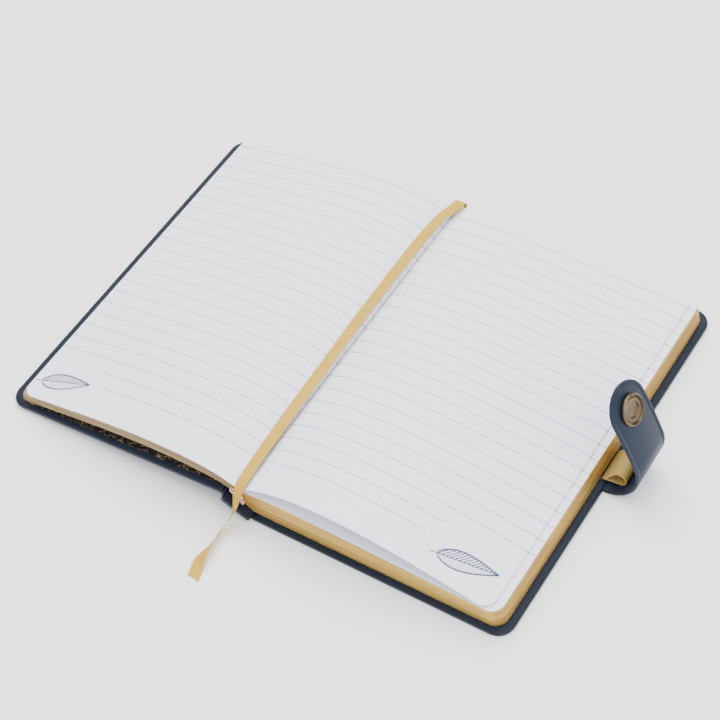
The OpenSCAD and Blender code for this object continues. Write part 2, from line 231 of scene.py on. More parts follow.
def spline(points, u):
    n = len(points) - 1
    i = min(n - 1, int(u))
    t = u - i
    a, b = points[max(0, i - 1)], points[i]
    c, d = points[i + 1], points[min(n, i + 2)]
    return [0.5 * (2 * q + (r - p) * t + (2 * p - 5 * q + 4 * r - s) * t * t
                   + (3 * q - p - 3 * r + s) * t ** 3) for p, q, r, s in zip(a, b, c, d)]


# ---------------------------------------------------------------- shader helpers
def node(tree, kind, inputs=None, **settings):
    made = tree.nodes.new(kind)
    for key, value in settings.items():
        setattr(made, key, value)
    for key, value in (inputs or {}).items():
        if isinstance(value, bpy.types.NodeSocket):
            tree.links.new(value, made.inputs[key])
        else:
            made.inputs[key].default_value = value
    return made


def calc(tree, operation, a, b=0.0, c=0.0):
    return node(tree, "ShaderNodeMath", {0: a, 1: b, 2: c}, operation=operation).outputs[0]


def ramp(tree, value, low, high, out_low=0.0, out_high=1.0):
    made = node(tree, "ShaderNodeMapRange", {0: value, 1: low, 2: high, 3: out_low, 4: out_high},
                interpolation_type="SMOOTHSTEP")
    return made.outputs[0]


def blend_colour(tree, mask, first, second):
    made = node(tree, "ShaderNodeMix", data_type="RGBA")
    for socket, value in ((0, mask), (6, first), (7, second)):
        if isinstance(value, bpy.types.NodeSocket):
            tree.links.new(value, made.inputs[socket])
        else:
            made.inputs[socket].default_value = value if socket == 0 else (*value, 1)
    return made.outputs[2]


def position(tree):
    """Object coordinates in millimetres, as three sockets and a vector."""
    coords = node(tree, "ShaderNodeTexCoord").outputs["Object"]
    scaled = node(tree, "ShaderNodeVectorMath", {0: coords, 1: (1000, 1000, 1000)},
                  operation="MULTIPLY").outputs[0]
    split = node(tree, "ShaderNodeSeparateXYZ", {0: scaled})
    return split.outputs[0], split.outputs[1], split.outputs[2], scaled


def noise(tree, vector, scale, detail=3.0, roughness=0.5, stretch=None):
    if stretch:
        vector = node(tree, "ShaderNodeVectorMath", {0: vector, 1: stretch},
                      operation="MULTIPLY").outputs[0]
    return node(tree, "ShaderNodeTexNoise", {"Vector": vector, "Scale": scale, "Detail": detail,
                                             "Roughness": roughness}).outputs["Fac"]


def group(name, ins, outs, build):
    """A shader node group; build(tree, inputs) gives its outputs in order."""
    tree = bpy.data.node_groups.new(name, "ShaderNodeTree")
    for label, kind, default in ins:
        socket = tree.interface.new_socket(label, in_out="INPUT", socket_type=kind)
        if default is not None:
            socket.default_value = default
    for label, kind in outs:
        tree.interface.new_socket(label, in_out="OUTPUT", socket_type=kind)
    entry = tree.nodes.new("NodeGroupInput")
    leave = tree.nodes.new("NodeGroupOutput")
    results = build(tree, [entry.outputs[i] for i in range(len(ins))])
    for i, result in enumerate(results):
        tree.links.new(result, leave.inputs[i])
    return tree


def use(tree, shared, inputs=None):
    made = tree.nodes.new("ShaderNodeGroup")
    made.node_tree = shared
    for key, value in (inputs or {}).items():
        if isinstance(value, bpy.types.NodeSocket):
            tree.links.new(value, made.inputs[key])
        else:
            made.inputs[key].default_value = value
    return made.outputs


def material(name):
    made = bpy.data.materials.new(name)
    made.use_nodes = True
    return made, made.node_tree, made.node_tree.nodes["Principled BSDF"]


def bump(tree, height, strength, distance_mm, shader):
    made = node(tree, "ShaderNodeBump", {"Strength": strength, "Distance": distance_mm * MM,
                                         "Height": height})
    tree.links.new(made.outputs[0], shader.inputs["Normal"])


def set_shader(tree, shader, **values):
    for key, value in values.items():
        socket = shader.inputs[key.replace("_", " ")]
        if isinstance(value, bpy.types.NodeSocket):
            tree.links.new(value, socket)
        else:
            socket.default_value = value


# ---------------------------------------------------------------- shared effects
def build_grain(tree, ins):
    """Fine pebbled leather: its height, and a mask of the pits between the pebbles."""
    vector, size = ins
    cells = node(tree, "ShaderNodeTexVoronoi", {"Vector": vector, "Scale": size},
                 feature="SMOOTH_F1").outputs["Distance"]
    broad = noise(tree, vector, 0.35, 4)
    pebbles, swell = calc(tree, "MULTIPLY", cells, -0.7), calc(tree, "MULTIPLY", broad, 0.5)
    height = calc(tree, "ADD", pebbles, swell)
    return [height, ramp(tree, cells, 0.35, 0.75)]


def build_rules(tree, ins):
    """Ruled lines across a page: 1 on a line. Far is 1 at the fore-edge and 0 at the fold."""
    y, far = ins
    rows = calc(tree, "DIVIDE", calc(tree, "SUBTRACT", y, FIRST_RULE_Y), RULE_PITCH)
    nearest = calc(tree, "ROUND", rows)
    off = calc(tree, "ABSOLUTE", calc(tree, "SUBTRACT", rows, nearest))
    gap = calc(tree, "MULTIPLY", off, RULE_PITCH)
    line = ramp(tree, gap, 0.12, 0.26, 1, 0)
    inside = calc(tree, "MULTIPLY", calc(tree, "GREATER_THAN", nearest, -0.5),
                  calc(tree, "LESS_THAN", nearest, RULES + 0.5))
    stop = calc(tree, "ADD", 0.683, calc(tree, "MULTIPLY", nearest, 0.04))
    open_row = calc(tree, "MAXIMUM", calc(tree, "LESS_THAN", far, stop),
                    calc(tree, "GREATER_THAN", nearest, 1.5))
    return [calc(tree, "MULTIPLY", calc(tree, "MULTIPLY", line, inside), open_row)]


def build_feather(tree, ins):
    """A printed feather: u runs along it from 0 to 1, v across it from -1 to 1. 1 is ink."""
    u, v = ins
    side = calc(tree, "ABSOLUTE", v)
    along = calc(tree, "POWER", calc(tree, "MAXIMUM", u, 0), 0.7)
    bulge = calc(tree, "SINE", calc(tree, "MULTIPLY", along, math.pi))
    width = calc(tree, "MULTIPLY", bulge, 0.92)
    on_page = calc(tree, "MULTIPLY", calc(tree, "GREATER_THAN", u, 0.01), calc(tree, "LESS_THAN", u, 1.0))
    inside = calc(tree, "MULTIPLY", calc(tree, "LESS_THAN", side, width), on_page)
    slant = calc(tree, "SUBTRACT", u, calc(tree, "MULTIPLY", side, 0.22))
    barb_ink = ramp(tree, calc(tree, "SINE", calc(tree, "MULTIPLY", slant, 92)), -0.35, 0.35)
    upper = calc(tree, "GREATER_THAN", v, 0)
    shade = calc(tree, "ADD", calc(tree, "MULTIPLY", upper, 0.55), 0.38)
    rim = ramp(tree, calc(tree, "ABSOLUTE", calc(tree, "SUBTRACT", side, width)), 0.04, 0.12, 1, 0)
    shaft = calc(tree, "MULTIPLY", ramp(tree, side, 0.03, 0.07, 1, 0), calc(tree, "LESS_THAN", u, 1.0))
    shaft = calc(tree, "MULTIPLY", shaft, calc(tree, "GREATER_THAN", u, -0.12))
    vane = calc(tree, "MULTIPLY", calc(tree, "MULTIPLY", barb_ink, shade), inside)
    rim = calc(tree, "MULTIPLY", rim, on_page)
    return [calc(tree, "MAXIMUM", calc(tree, "MAXIMUM", vane, rim), shaft)]


def build_leaf_stripes(tree, ins):
    """Stripes along the leaves' cut edges: fine, broad, and the flecks of the cut."""
    vector = ins[0]
    fine = noise(tree, vector, 1.0, 3, 0.6, (0.05, 0.05, 4.2))
    broad = noise(tree, vector, 1.0, 2, 0.5, (0.012, 0.012, 1.1))
    cut = noise(tree, vector, 1.0, 2, 0.6, (0.9, 0.9, 1.6))
    return [fine, broad, cut]


def shared_effects():
    vector, value = "NodeSocketVector", "NodeSocketFloat"
    grain = group("leather grain", [("Vector", vector, None), ("Size", value, 1.4)],
                  [("Height", value), ("Pits", value)], build_grain)
    rules = group("page rules", [("Y", value, 0), ("Far", value, 0)],
                  [("Line", value)], build_rules)
    feather = group("feather print", [("U", value, 0), ("V", value, 0)],
                    [("Ink", value)], build_feather)
    stripes = group("leaf stripes", [("Vector", vector, None)],
                    [("Fine", value), ("Broad", value), ("Cut", value)], build_leaf_stripes)
    return {"grain": grain, "rules": rules, "feather": feather, "stripes": stripes}


# ---------------------------------------------------------------- materials
def leather(shared, name, colour, dark, size, rough):
    made, tree, shader = material(name)
    _, _, _, place = position(tree)
    grain = use(tree, shared["grain"], {"Vector": place, "Size": size})
    mottle = noise(tree, place, 0.09, 5, 0.6)
    # pits between the pebbles darker: partly the grain's own colour, partly painted shade in the hollows
    tone = calc(tree, "MULTIPLY", grain["Pits"], 0.6)
    tone = calc(tree, "ADD", tone, calc(tree, "MULTIPLY", ramp(tree, mottle, 0.35, 0.7), 0.35))
    set_shader(tree, shader, Base_Color=blend_colour(tree, tone, colour, dark), Roughness=rough,
               Specular_IOR_Level=0.16)
    bump(tree, grain["Height"], 0.5, 0.12, shader)
    return made


def paper(shared, name, fold_x, fore_x, feather_at, longer):
    """Ruled page with a small feather in its outer corner."""
    made, tree, shader = material(name)
    x, y, _, place = position(tree)
    far = calc(tree, "DIVIDE", calc(tree, "SUBTRACT", x, fold_x), fore_x - fold_x)
    far = calc(tree, "SUBTRACT", far, longer)
    line = use(tree, shared["rules"], {"Y": y, "Far": far})["Line"]
    dx, dy = calc(tree, "SUBTRACT", x, feather_at[0]), calc(tree, "SUBTRACT", y, feather_at[1])
    cos, sin = math.cos(math.radians(feather_at[2])), math.sin(math.radians(feather_at[2]))
    along = calc(tree, "ADD", calc(tree, "MULTIPLY", dx, cos), calc(tree, "MULTIPLY", dy, sin))
    across = calc(tree, "SUBTRACT", calc(tree, "MULTIPLY", dy, cos), calc(tree, "MULTIPLY", dx, sin))
    u = calc(tree, "ADD", calc(tree, "DIVIDE", along, FEATHER_LEN), 0.5)
    v = calc(tree, "DIVIDE", across, FEATHER_HALF)
    ink = use(tree, shared["feather"], {"U": u, "V": v})["Ink"]
    fibre = noise(tree, place, 1.6, 4, 0.65)
    cloud = ramp(tree, fibre, 0.3, 0.75)
    sheet = blend_colour(tree, cloud, (0.86, 0.86, 0.96), (0.885, 0.885, 0.97))
    ruled = blend_colour(tree, calc(tree, "MULTIPLY", line, 0.88), sheet, (0.16, 0.17, 0.25))
    printed = blend_colour(tree, ink, ruled, (0.03, 0.042, 0.12))
    set_shader(tree, shader, Base_Color=printed, Roughness=0.72, Specular_IOR_Level=0.3)
    bump(tree, fibre, 0.12, 0.05, shader)
    return made


def gilt(shared, name, bright, brown, share_of_metal):
    """Gilded edges: bright on the tail; browner and darker-striped with painted shade between the leaves
    where they fan.
    """
    made, tree, shader = material(name)
    _, _, _, place = position(tree)
    stripes = use(tree, shared["stripes"], {"Vector": place})
    facing = node(tree, "ShaderNodeNewGeometry").outputs["Normal"]
    local = node(tree, "ShaderNodeVectorTransform", {0: facing}, vector_type="NORMAL",
                 convert_from="WORLD", convert_to="OBJECT").outputs[0]
    sideways = calc(tree, "ABSOLUTE", node(tree, "ShaderNodeSeparateXYZ", {0: local}).outputs[0])
    # dark stripes between the leaves, strongest on faces turned along x where the leaves fan: painted shade
    leaf_gap_shade = calc(tree, "MULTIPLY", ramp(tree, stripes["Fine"], 0.42, 0.6),
                ramp(tree, sideways, 0.2, 0.8, 0.2, 0.85))
    base = blend_colour(tree, ramp(tree, stripes["Broad"], 0.38, 0.62), bright, brown)
    # faces turned along x, where the leaves fan, made browner: painted shade
    base = blend_colour(tree, ramp(tree, sideways, 0.3, 0.9, 0.0, 0.6), base, brown)
    tint = blend_colour(tree, leaf_gap_shade, base, (0.3, 0.18, 0.07))
    pale = calc(tree, "MULTIPLY", ramp(tree, stripes["Fine"], 0.6, 0.72),
                ramp(tree, sideways, 0.2, 0.8, 0.0, 0.4))
    set_shader(tree, shader, Base_Color=blend_colour(tree, pale, tint, (0.8, 0.62, 0.3)),
               Metallic=share_of_metal, Roughness=0.42, Specular_IOR_Level=0.2)
    bump(tree, stripes["Fine"], 0.5, 0.2, shader)
    return made


def marbled():
    made, tree, shader = material("endpaper marbling")
    _, _, _, place = position(tree)
    veins = node(tree, "ShaderNodeTexVoronoi", {"Vector": place, "Scale": 0.28},
                 feature="DISTANCE_TO_EDGE").outputs["Distance"]
    cloud = noise(tree, place, 0.3, 6, 0.7)
    flecks = noise(tree, place, 1.3, 4, 0.65)
    veined = calc(tree, "MULTIPLY", ramp(tree, veins, 0.02, 0.07, 1, 0), ramp(tree, cloud, 0.46, 0.58))
    gold = calc(tree, "MAXIMUM", veined, ramp(tree, flecks, 0.59, 0.66))
    set_shader(tree, shader, Base_Color=blend_colour(tree, gold, (0.006, 0.005, 0.005), (0.3, 0.2, 0.1)),
               Roughness=0.5, Specular_IOR_Level=0.2)
    return made


def ribbon_satin():
    made, tree, shader = material("ribbon satin")
    _, _, _, place = position(tree)
    weave = noise(tree, place, 1.0, 2, 0.5, (7, 1.2, 3))
    slow = noise(tree, place, 0.15, 3)
    tone = calc(tree, "ADD", calc(tree, "MULTIPLY", weave, 0.5), calc(tree, "MULTIPLY", slow, 0.5))
    satin = blend_colour(tree, ramp(tree, tone, 0.3, 0.7), (0.5, 0.3, 0.035), (0.57, 0.35, 0.05))
    set_shader(tree, shader, Base_Color=satin, Roughness=0.5, Specular_IOR_Level=0.12)
    bump(tree, weave, 0.3, 0.06, shader)
    return made


def elastic_web():
    made, tree, shader = material("elastic web")
    _, y, _, place = position(tree)
    ribs = calc(tree, "SINE", calc(tree, "MULTIPLY", y, 2 * math.pi / 1.15))
    fuzz = noise(tree, place, 3.0, 3)
    # darker in the grooves between the ribs: partly the web's own colour, partly painted shade
    tone = calc(tree, "ADD", ramp(tree, ribs, -1, 0.6), calc(tree, "MULTIPLY", fuzz, 0.3))
    web = blend_colour(tree, tone, (0.17, 0.105, 0.025), (0.5, 0.34, 0.1))
    set_shader(tree, shader, Base_Color=web, Roughness=0.6, Specular_IOR_Level=0.12)
    bump(tree, ribs, 0.8, 0.15, shader)
    return made


def striped_band():
    made, tree, shader = material("band thread")
    x, _, z, place = position(tree)
    turn = calc(tree, "SINE", calc(tree, "MULTIPLY", calc(tree, "ADD", x, z), 2 * math.pi / 1.9))
    thread = blend_colour(tree, ramp(tree, turn, -0.25, 0.25), (0.55, 0.012, 0.012), (0.8, 0.72, 0.66))
    set_shader(tree, shader, Base_Color=thread, Roughness=0.7)
    bump(tree, noise(tree, place, 4.0, 2), 0.4, 0.1, shader)
    return made


def metal(name, colour, dark, rough):
    made, tree, shader = material(name)
    _, _, _, place = position(tree)
    tarnish = noise(tree, place, 0.9, 5, 0.65)
    set_shader(tree, shader, Base_Color=blend_colour(tree, ramp(tree, tarnish, 0.4, 0.68), colour, dark),
               Metallic=1.0, Roughness=rough)
    bump(tree, noise(tree, place, 5.0, 2), 0.15, 0.03, shader)
    return made


def plain(name, colour, rough):
    made, tree, shader = material(name)
    _, _, _, place = position(tree)
    specks = noise(tree, place, 2.0, 4, 0.6)
    shade = tuple(c * 0.75 for c in colour)
    set_shader(tree, shader, Base_Color=blend_colour(tree, ramp(tree, specks, 0.35, 0.7), colour, shade),
               Roughness=rough)
    bump(tree, specks, 0.2, 0.05, shader)
    return made


def all_materials():
    shared = shared_effects()
    return {
        "case": leather(shared, "case leather", (0.009, 0.014, 0.026), (0.0045, 0.008, 0.015), 1.5, 0.42),
        "strap": leather(shared, "strap leather", (0.0125, 0.021, 0.037), (0.0075, 0.0135, 0.025), 2.2, 0.46),
        "right_page": paper(shared, "right page", FOLD_X, FORE_X - LEAF_SHORT, (42.5, -90.2, 12), 0.0),
        "under_page": paper(shared, "page below", FOLD_X, FORE_X, (46.5, -91.5, 12), 0.0),
        "left_page": paper(shared, "left page", LEFT_X0, LEFT_X0 - LEFT_W, (-201, -90.4, 12), 0.033),
        "gilt": gilt(shared, "gilt edges", (0.8, 0.54, 0.09), (0.52, 0.32, 0.09), 0.7),
        # the left pages' gilt: the same gilding as the right, made darker and less metallic as painted shade
        "gilt_left": gilt(shared, "gilt edges of the left pages", (0.4, 0.28, 0.13),
                          (0.24, 0.16, 0.085), 0.3),
        "marbled": marbled(),
        "ribbon": ribbon_satin(),
        "elastic": elastic_web(),
        "band": striped_band(),
        "brass": metal("antique brass", (0.165, 0.118, 0.068), (0.085, 0.063, 0.042), 0.4),
        "steel": metal("nickel", (0.5, 0.5, 0.5), (0.38, 0.38, 0.38), 0.3),
        "board": plain("binder's board", (0.36, 0.28, 0.19), 0.85),
        "lining": plain("open-weave lining", (0.6, 0.55, 0.46), 0.9),
    }


# ---------------------------------------------------------------- case
def cover(name, body, nodes, materials, place=None):
    """A board wrapped in leather, its edges soft and a low step where the skin is turned in."""
    outside = [(2.0, 0.0), (0.9, 0.02), (0.4, 0.14), (0.12, 0.45), (0.0, 0.95), (0.0, 2.05),
               (0.12, 2.55), (0.4, 2.86), (0.9, 3.0), (TURN_IN - 0.4, 3.0), (TURN_IN, 2.9)]
    rings = [round_rect(BOARD_W, BOARD_H, CORNER_R, z, inset, square=True) for inset, z in outside]
    points, faces = loft(rings)
    solid(name, points, faces, body, nodes, [materials["case"]], smooth=50, place=place)


def front_place():
    """Where the front cover lies: out to the left, its inner end raised on the spine."""
    slide = Matrix.Translation(Vector((FRONT_X, 0, FRONT_Z)) * MM)
    tilt = Matrix.Rotation(-FRONT_TILT, 4, "Y")
    flip = Matrix.Scale(-1, 4, (1, 0, 0))
    return slide @ tilt @ Matrix.Translation(Vector((-EDGE_X, 0, 0)) * MM) @ flip


def endpaper(name, body, nodes, materials, place=None):
    x0, w = -EDGE_X + 3, FORE_X + EDGE_X - 3
    rings = []
    for inset, z in ((0.0, CASE_T - 0.05), (0.0, CASE_T + 0.15), (0.1, INNER_Z)):
        ring = round_rect(w, PAGE_H, PAGE_R, z, inset)
        rings.append([(x + x0 + w / 2, y, h) for x, y, h in ring])
    points, faces = loft(rings)
    solid(name, points, faces, body, nodes, [materials["marbled"]], place=place)


def spine_panel(materials):
    """The spine's stiff panel, sloping up from the back cover to the front one."""
    outside = [(0.6, 0.0), (0.2, 0.06), (0.03, 0.3), (0.0, 0.6), (0.0, 2.6), (0.05, 2.95),
               (0.25, 3.15), (0.7, 3.2)]
    rings = [round_rect(SPINE_W, BOARD_H + 3.2, 0.8, z, inset, 4) for inset, z in outside]
    points, faces = loft(rings)
    slope = Matrix.Rotation(math.radians(SPINE_SLOPE), 4, "Y")
    place = (Matrix.Translation(Vector((SPINE_X, 0, 0.05)) * MM) @ slope
             @ Matrix.Translation(Vector((-SPINE_W / 2, 0, 0)) * MM))
    solid("spine panel", points, faces, "spine", ("spine_skin",), [materials["case"]],
          smooth=50, place=place)


def joint_skin(name, nodes, materials, outer, thick):
    """A strip of skin along points in X and Z from one board to the next, as high as the case."""
    n = (len(outer) - 1) * 4
    line = [spline(outer, i / 4) for i in range(n + 1)]
    ring = []
    for side in (1, -1):
        for i in (range(n + 1) if side == 1 else range(n, -1, -1)):
            a, b = line[max(0, i - 1)], line[min(n, i + 1)]
            length = math.hypot(b[0] - a[0], b[1] - a[1])
            nx, nz = -(b[1] - a[1]) / length, (b[0] - a[0]) / length
            ring.append((line[i][0] + side * nx * thick / 2, line[i][1] + side * nz * thick / 2))
    half = BOARD_H / 2
    ys = [-half + 0.5, -half + 0.9, -half / 2, 0, half / 2, half - 0.9, half - 0.5]
    rings = [[(x, y, z) for x, z in ring] for y in ys]
    points, faces = loft(rings)
    obj = solid(name, points, faces, None, nodes, [materials["case"]])
    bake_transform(obj)


def build_case(materials):
    cover("back cover", "back_cover", ("back_skin",), materials)
    cover("front cover", "front_cover", ("front_skin",), materials, front_place())
    endpaper("back endpaper", "back_cover", ("back_endpaper",), materials)
    endpaper("front endpaper", "front_cover", ("front_endpaper",), materials, front_place())
    spine_panel(materials)
    low = (SPINE_X, 0.05)
    high = (SPINE_X + SPINE_W * SPINE_DX, 0.05 + SPINE_W * SPINE_DZ)
    lift = (SPINE_DZ * SPINE_T, -SPINE_DX * SPINE_T)
    joint_skin("back joint", ("back_joint",), materials,
               [(-EDGE_X + 0.8, 1.6), (-EDGE_X - 0.3, 1.5), (-EDGE_X - 1.0, 1.35), (-EDGE_X - 1.7, 1.4),
                (low[0] + lift[0] * 0.5 - 1.0, low[1] + lift[1] * 0.5 + 0.5)], 1.9)
    joint_skin("front joint", ("front_joint",), materials,
               [(high[0] + 1.6, high[1] + 0.3), (high[0] + 0.75, high[1] + 0.6),
                (high[0] + 0.5, high[1] + 1.7), (high[0] + 0.9, high[1] + 3.4),
                (high[0] + 1.6, high[1] + 5.0)], 1.5)


# ---------------------------------------------------------------- pages
def page_columns(x0, x1, count=44):
    """Places along a page from the fold to the fore-edge, with the half height of the page there."""
    side = 1 if x1 > x0 else -1
    bend = x1 - side * PAGE_R
    xs = [x0 + (bend - x0) * (i / count) ** 1.5 for i in range(count + 1)]
    columns = [(x, PAGE_H / 2) for x in xs]
    for k in range(1, 9):
        a = math.radians(90 * k / 8)
        columns.append((bend + side * PAGE_R * math.sin(a), PAGE_H / 2 - PAGE_R * (1 - math.cos(a))))
    return columns


def slab(columns, low, high, rows, shift_low=(0, 0), shift_high=(0, 0)):
    """A thin stack of leaves between two heights over columns, each face moved in x and trimmed in y."""
    rings = []
    x0, x1 = columns[0][0], columns[-1][0]
    for x, half in columns:
        lower, upper = [], []
        w = (x - x0) / (x1 - x0)
        for j in range(rows + 1):
            f = 2 * j / rows - 1
            y0, y1 = f * (half - shift_low[1]), f * (half - shift_high[1])
            lower.append((x + shift_low[0] * w, y0, low(x, y0)))
            upper.append((x + shift_high[0] * w, y1, high(x, y1)))
        rings.append(lower + upper[::-1])
    n = 2 * (rows + 1)
    points = [p for ring in rings for p in ring]
    faces, parts = [], []
    for i in range(len(rings) - 1):
        for k in range(n):
            a, b = i * n + k, i * n + (k + 1) % n
            faces.append((a, b, b + n, a + n))
            parts.append(1 if k in (rows, n - 1) else 0)
    for base in (0, (len(rings) - 1) * n):
        for j in range(rows):
            faces.append((base + j, base + j + 1, base + n - 2 - j, base + n - 1 - j))
            parts.append(1 if base else 0)
    return points, faces, parts


def section(name, body, nodes, materials, columns, at, first, last, slabs, lean, seed):
    """Some gatherings of leaves between two shares of the stack, each slab's edge a little in or out."""
    random.seed(seed)
    points, faces, parts = [], [], []
    side = 1 if columns[-1][0] > columns[0][0] else -1
    for i in range(slabs):
        a = first + (last - first) * i / slabs
        b = first + (last - first) * (i + 0.96) / slabs
        wander = random.uniform(-0.16, 0.16)
        trim = random.uniform(0, 0.14)
        p, f, m = slab(columns, lambda x, y, a=a: at(x, a), lambda x, y, b=b: at(x, b), 2,
                       (side * (wander - lean * a), trim), (side * (wander - lean * b), trim))
        faces += [tuple(k + len(points) for k in face) for face in f]
        points += p
        shown = (i == slabs - 1 and last > 0.95) or (i == 0 and first == 0)
        parts += m if shown else [1] * (len(m) - 4) + m[-4:]
    return solid(name, points, faces, body, nodes, materials, parts)


def build_right_pages(materials):
    columns = page_columns(FOLD_X, FORE_X)
    for i in range(5):
        section("right section %d" % (i + 1), "back_cover", ("right_section_%d" % (i + 1),),
                [materials["under_page"], materials["gilt"]], columns, right_at, i / 5,
                (i + 1) / 5 - 0.012, 4, 1.3, i + 3)
    leaf = page_columns(FOLD_X + 1, FORE_X - LEAF_SHORT, 36)
    points, faces, parts = slab(leaf, leaf_low, lambda x, y: leaf_low(x, y) + LEAF_T, 24)
    made = solid("lifted leaf", points, faces, "loose_leaf", ("top_leaf",),
                 [materials["right_page"], materials["gilt"]], parts)
    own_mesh(made)


def build_left_pages(materials):
    columns = page_columns(LEFT_X0, LEFT_X0 - LEFT_W - LEFT_FAN + 2)
    made = []
    for i in range(3):
        made.append(section("left section %d" % (i + 1), "left_pages", ("left_section_%d" % (i + 1),),
                            [materials["left_page"], materials["gilt_left"]], columns, left_at, i / 3,
                            (i + 1) / 3 - 0.012, 4, LEFT_FAN, i + 21))
    for obj in made:
        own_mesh(obj)


# the bow of a band: distance from the fold, and height
BAND_BOW = [(-3.9, 18.4), (-2.8, 16.4), (-1.1, 15.2), (0.6, 14.4), (1.4, 12), (1.5, 9.4)]


def build_bands(materials):
    """Sewn head and tail bands: a round cord bowed across the end of the pages' spine."""
    for side, name in ((1, "headband"), (-1, "tailband")):
        y = side * (PAGE_H / 2 + 1.2)
        run = [(FOLD_X + dx, y, z) for dx, z in BAND_BOW]
        rings = []
        for i in range(21):
            p = Vector(spline(run, i / 4))
            t = Vector(spline(run, min(5, i / 4 + 0.1))) - Vector(spline(run, max(0, i / 4 - 0.1)))
            t.normalize()
            across = Vector((0, 1, 0))
            over = t.cross(across).normalized()
            r = 1.15 * (0.55 if i in (0, 20) else 1)
            rings.append([tuple(p + (across * math.cos(a) + over * math.sin(a)) * r)
                          for a in (math.tau * k / 12 for k in range(12))])
        points, faces = loft(rings)
        made = solid(name, points, faces, "back_cover", (name,), [materials["band"]])
        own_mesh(made)


# ---------------------------------------------------------------- ribbon
# the ribbon's way: x, y, z, and how far it is rolled about its length
RIBBON_RUN = [
    (-78.4, 108.0, 15.5, 0), (-77.8, 108.1, 18.6, 0), (-77.2, 105.6, 20.9, 0), (-78.6, 99, 21.2, 0),
    (-80.6, 90, 21.7, -4), (-81.8, 70, 22.1, -6), (-82, 40, 22.1, -6), (-81.7, 10, 22.1, -6),
    (-81, -20, 21.9, -5), (-80.2, -50, 21.7, -4), (-79.2, -75, 21.8, -5), (-78.5, -90, 21.8, -10),
    (-77.8, -100, 21.8, -10), (-77.3, -104.6, 21.2, -15), (-77.3, -108, 18.4, -20),
    (-77.8, -111, 13, -40), (-78.5, -113.5, 9, -60), (-79.5, -116, 5.5, -65), (-80.5, -121, 3.5, -65),
    (-80.5, -126, 3.2, -65), (-80.5, -131, 3.2, -55), (-80.5, -136, 3, -35), (-80.5, -141, 2, -10),
    (-79.5, -145, 1, 0), (-78.5, -149, 0.4, 0),
]
# the ribbon's section, as shares of half its width and thickness
RIBBON_RING = [(-1, -0.4), (-0.97, -1), (-0.4, -1), (0.4, -1), (0.97, -1), (1, -0.4),
               (1, 0.4), (0.97, 1), (0.4, 1), (-0.4, 1), (-0.97, 1), (-1, 0.4)]


def build_ribbon(materials):
    """A narrow flat ribbon down the fold and over the tail onto the table, turning on edge halfway."""
    steps, n = 6, len(RIBBON_RUN) - 1
    path = [Vector(spline(RIBBON_RUN, i / steps)[:3]) for i in range(n * steps + 1)]
    rings = []
    for i, p in enumerate(path):
        t = (path[min(len(path) - 1, i + 1)] - path[max(0, i - 1)]).normalized()
        roll = math.radians(spline(RIBBON_RUN, i / steps)[3])
        level = (Vector((1, 0, 0)) - t * t.x).normalized()
        side = level * math.cos(roll) + level.cross(t).normalized() * math.sin(roll)
        over = side.cross(t).normalized()
        slant = t * (1.6 if i == len(path) - 1 else 0)
        rings.append([tuple(p + side * (u * RIBBON_W / 2) + over * (v * RIBBON_T / 2) + slant * u)
                      for u, v in RIBBON_RING])
    points, faces = loft(rings)
    made = solid("ribbon", points, faces, "back_cover", ("ribbon",), [materials["ribbon"]])
    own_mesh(made)


# ---------------------------------------------------------------- strap, clasp and pen loop
def flap_at(s, off):
    """Point and outward normal on the flap, s along its outer face from the hinge line."""
    if s < BEND_LEN:
        q, r, hub = s / FLAP_BEND, FLAP_BEND, Vector((UPRIGHT_X - FLAP_BEND, 0, STRAP_RISE))
    else:
        q, r = FLAP_LEAN + (s - BEND_LEN) / FLAP_CURVE, FLAP_CURVE
        hub = Vector((UPRIGHT_X - FLAP_BEND, 0, STRAP_RISE)) + (FLAP_BEND - FLAP_CURVE) * Vector(
            (math.cos(FLAP_LEAN), 0, math.sin(FLAP_LEAN)))
    normal = Vector((math.cos(q), 0, math.sin(q)))
    return hub + normal * (r - off), normal


def strap_at(s, off):
    """The same along the whole strap, s from the cover's edge."""
    if s >= RISER_LEN:
        return flap_at(s - RISER_LEN, off)
    q = math.pi / 2 * s / RISER_LEN
    x = EDGE_X + (STRAP_REACH - off) * math.sin(q)
    z = 0.35 + off + (STRAP_RISE - 0.35 - off) * (1 - math.cos(q))
    normal = Vector(((STRAP_RISE - 0.35) * math.sin(q), 0, -STRAP_REACH * math.cos(q)))
    return Vector((x, 0, z)), normal.normalized()


def strap_layer(name, nodes, material_, off, thick, trim):
    """One leather layer of the strap, with soft edges and a round tongue."""
    half, tip = STRAP_W / 2 - trim, STRAP_LEN - trim
    stations = [tip * i / 60 for i in range(46)]
    stations += [tip - half * (1 - math.sin(math.radians(a))) for a in range(4, 90, 5)]
    stations = sorted(s for s in stations if s < tip - 0.02) + [tip - 0.01]
    rings = []
    for s in stations:
        w = half if s < tip - half else math.sqrt(max(0.02, half ** 2 - (s - tip + half) ** 2))
        mid, normal = strap_at(s, off + thick / 2)
        e, crease = min(0.35, w * 0.4), min(2.2, w * 0.6)
        ring = []
        for y, t in ((-w, -0.25), (-w + e * 0.3, -0.42), (-w + e, -0.5), (0, -0.5), (w - e, -0.5),
                     (w - e * 0.3, -0.42), (w, -0.25), (w, 0.25), (w - e * 0.3, 0.42), (w - e, 0.5),
                     (w - crease * 0.8, 0.5), (w - crease, 0.33),
                     (w - crease * 1.2, 0.5), (0, 0.5), (crease * 1.2 - w, 0.5), (crease - w, 0.33),
                     (crease * 0.8 - w, 0.5), (-w + e, 0.5), (-w + e * 0.3, 0.42), (-w, 0.25)):
            ring.append(tuple(mid + Vector((0, y, 0)) + normal * (t * thick)))
        rings.append(ring)
    points, faces = loft(rings)
    made = solid(name, points, faces, None, nodes, [material_], smooth=55)
    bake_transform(made)


